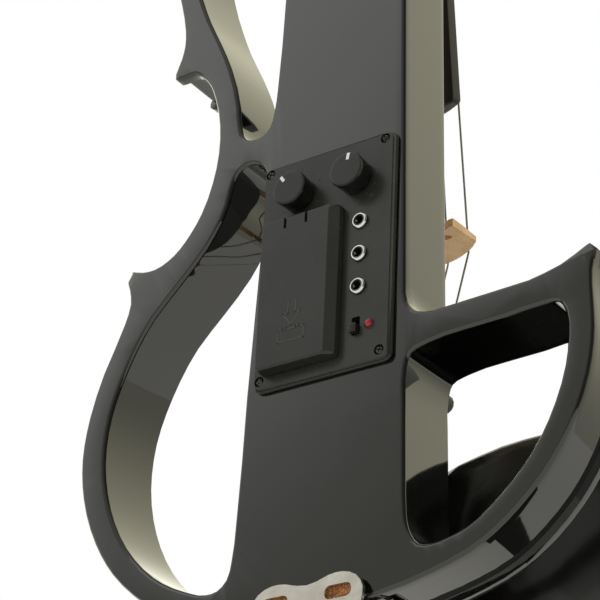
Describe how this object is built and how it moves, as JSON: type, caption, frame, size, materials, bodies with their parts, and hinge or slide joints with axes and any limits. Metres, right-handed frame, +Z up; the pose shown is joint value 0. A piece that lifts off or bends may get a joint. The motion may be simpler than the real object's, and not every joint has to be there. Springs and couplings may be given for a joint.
{
  "type": "electric violin",
  "caption": "Solid frame electric violin with an open wing, short bass arm, scroll, strings, bridge, chinrest and a back preamp panel with battery cover, knobs and sockets.",
  "frame": {"origin": "throat under the scroll on the midline, where a hanger's fork carries the instrument", "axes": "+Z up to the scroll, strings face -Y, treble side +X"},
  "size_m": [0.2121, 0.0818, 0.6089],
  "materials": {
    "lacquer": "black gloss lacquer",
    "ebony": "satin black",
    "maple": "bare, oiled",
    "moulded_black": "black",
    "panel_plastic": "satin black",
    "string_steel": "wound steel",
    "chrome": "bright",
    "nickel": "nickel plated",
    "dark_steel": "blackened",
    "brass": "plain",
    "cork": "cork",
    "nylon": "black cord",
    "lead_cover": "brown insulation",
    "board_green": "solder mask",
    "red_lens": "clear red"
  },
  "bodies": {
    "violin": {"body": "lacquer", "neck": "lacquer", "fingerboard": "ebony", "nut": "ebony", "string_g": "string_steel", "string_d": "string_steel", "string_a": "string_steel", "string_e": "string_steel", "bridge": "maple", "pickup_element": "brass", "pickup_wire": "lead_cover", "tailpiece": "moulded_black", "tailgut": "nylon", "end_button": "ebony", "saddle": "ebony", "chinrest": "moulded_black", "chinrest_cork_treble": "cork", "chinrest_cork_bass": "cork", "chinrest_bracket": "nickel", "clamp_foot": "nickel", "clamp_cork": "cork", "preamp_panel": "panel_plastic", "battery": "panel_plastic", "battery_clip": "moulded_black", "circuit_board": "board_green", "potentiometer_treble": "nickel", "potentiometer_bass": "nickel", "jack_headphone": "chrome", "jack_aux": "chrome", "jack_line": "chrome", "power_switch": "moulded_black", "power_led": "red_lens", "panel_screw_upper_treble": "dark_steel", "panel_screw_upper_bass": "dark_steel", "panel_screw_lower_treble": "dark_steel", "panel_screw_lower_bass": "dark_steel"},
    "peg_g_body": {"peg_g": "ebony"},
    "peg_d_body": {"peg_d": "ebony"},
    "peg_a_body": {"peg_a": "ebony"},
    "peg_e_body": {"peg_e": "ebony"},
    "tuner_screw_g_body": {"tuner_screw_g": "moulded_black"},
    "tuner_screw_d_body": {"tuner_screw_d": "moulded_black"},
    "tuner_screw_a_body": {"tuner_screw_a": "moulded_black"},
    "tuner_screw_e_body": {"tuner_screw_e": "moulded_black"},
    "tuner_lever_g_body": {"tuner_lever_g": "chrome", "ball_end_g": "brass"},
    "tuner_lever_d_body": {"tuner_lever_d": "chrome", "ball_end_d": "brass"},
    "tuner_lever_a_body": {"tuner_lever_a": "chrome", "ball_end_a": "brass"},
    "tuner_lever_e_body": {"tuner_lever_e": "chrome", "ball_end_e": "brass"},
    "barrel_treble_body": {"clamp_barrel_treble": "nickel"},
    "barrel_bass_body": {"clamp_barrel_bass": "nickel"},
    "knob_treble_body": {"knob_treble": "moulded_black"},
    "knob_bass_body": {"knob_bass": "moulded_black"},
    "slider_body": {"switch_slider": "moulded_black"},
    "cover_body": {"battery_cover": "panel_plastic"}
  },
  "joints": [
    {"name": "peg_g_turn", "type": "hinge", "parent": "violin", "child": "peg_g_body", "pos_m": [0, -0.00479, -0.0585], "axis": [1, 0, 0], "range_deg": [-90, 360]},
    {"name": "peg_e_turn", "type": "hinge", "parent": "violin", "child": "peg_e_body", "pos_m": [0, -0.00137, -0.0455], "axis": [1, 0, 0], "range_deg": [-90, 360]},
    {"name": "peg_d_turn", "type": "hinge", "parent": "violin", "child": "peg_d_body", "pos_m": [0, 0.0031, -0.0285], "axis": [1, 0, 0], "range_deg": [-90, 360]},
    {"name": "peg_a_turn", "type": "hinge", "parent": "violin", "child": "peg_a_body", "pos_m": [0, 0.00652, -0.0155], "axis": [1, 0, 0], "range_deg": [-90, 360]},
    {"name": "tuner_g_turn", "type": "hinge", "parent": "violin", "child": "tuner_screw_g_body", "pos_m": [-0.0132, -0.036, -0.466], "axis": [0, 1, 0], "range_deg": [0, 1440]},
    {"name": "tuner_d_turn", "type": "hinge", "parent": "violin", "child": "tuner_screw_d_body", "pos_m": [-0.0044, -0.036, -0.466], "axis": [0, 1, 0], "range_deg": [0, 1440]},
    {"name": "tuner_a_turn", "type": "hinge", "parent": "violin", "child": "tuner_screw_a_body", "pos_m": [0.0044, -0.036, -0.466], "axis": [0, 1, 0], "range_deg": [0, 1440]},
    {"name": "tuner_e_turn", "type": "hinge", "parent": "violin", "child": "tuner_screw_e_body", "pos_m": [0.0132, -0.036, -0.466], "axis": [0, 1, 0], "range_deg": [0, 1440]},
    {"name": "lever_g_tilt", "type": "hinge", "parent": "violin", "child": "tuner_lever_g_body", "pos_m": [-0.0132, -0.02971, -0.4557], "axis": [1, 0, 0], "range_deg": [0, 8]},
    {"name": "lever_d_tilt", "type": "hinge", "parent": "violin", "child": "tuner_lever_d_body", "pos_m": [-0.0044, -0.03138, -0.4557], "axis": [1, 0, 0], "range_deg": [0, 8]},
    {"name": "lever_a_tilt", "type": "hinge", "parent": "violin", "child": "tuner_lever_a_body", "pos_m": [0.0044, -0.03138, -0.4557], "axis": [1, 0, 0], "range_deg": [0, 8]},
    {"name": "lever_e_tilt", "type": "hinge", "parent": "violin", "child": "tuner_lever_e_body", "pos_m": [0.0132, -0.02971, -0.4557], "axis": [1, 0, 0], "range_deg": [0, 8]},
    {"name": "barrel_treble_turn", "type": "hinge", "parent": "violin", "child": "barrel_treble_body", "pos_m": [0.017, 0.0026, -0.5697], "axis": [0, 1, 0], "range_deg": [-180, 180]},
    {"name": "barrel_bass_turn", "type": "hinge", "parent": "violin", "child": "barrel_bass_body", "pos_m": [-0.017, 0.0026, -0.5697], "axis": [0, 1, 0], "range_deg": [-180, 180]},
    {"name": "knob_treble_turn", "type": "hinge", "parent": "violin", "child": "knob_treble_body", "pos_m": [0.011, 0.0201, -0.403], "axis": [0, -1, 0], "range_deg": [-115, 185]},
    {"name": "knob_bass_turn", "type": "hinge", "parent": "violin", "child": "knob_bass_body", "pos_m": [-0.0134, 0.0201, -0.403], "axis": [0, -1, 0], "range_deg": [-160, 140]},
    {"name": "switch_slide", "type": "slide", "parent": "violin", "child": "slider_body", "axis": [0, 0, 1], "range_m": [0, 0.003]},
    {"name": "cover_slide", "type": "slide", "parent": "violin", "child": "cover_body", "axis": [0, 0, -1], "range_m": [0, 0.058]}
  ],
  "couplings": [
    {"joint": "lever_g_tilt", "follows": "tuner_g_turn", "ratio": 0.0055556},
    {"joint": "lever_d_tilt", "follows": "tuner_d_turn", "ratio": 0.0055556},
    {"joint": "lever_a_tilt", "follows": "tuner_a_turn", "ratio": 0.0055556},
    {"joint": "lever_e_tilt", "follows": "tuner_e_turn", "ratio": 0.0055556}
  ]
}
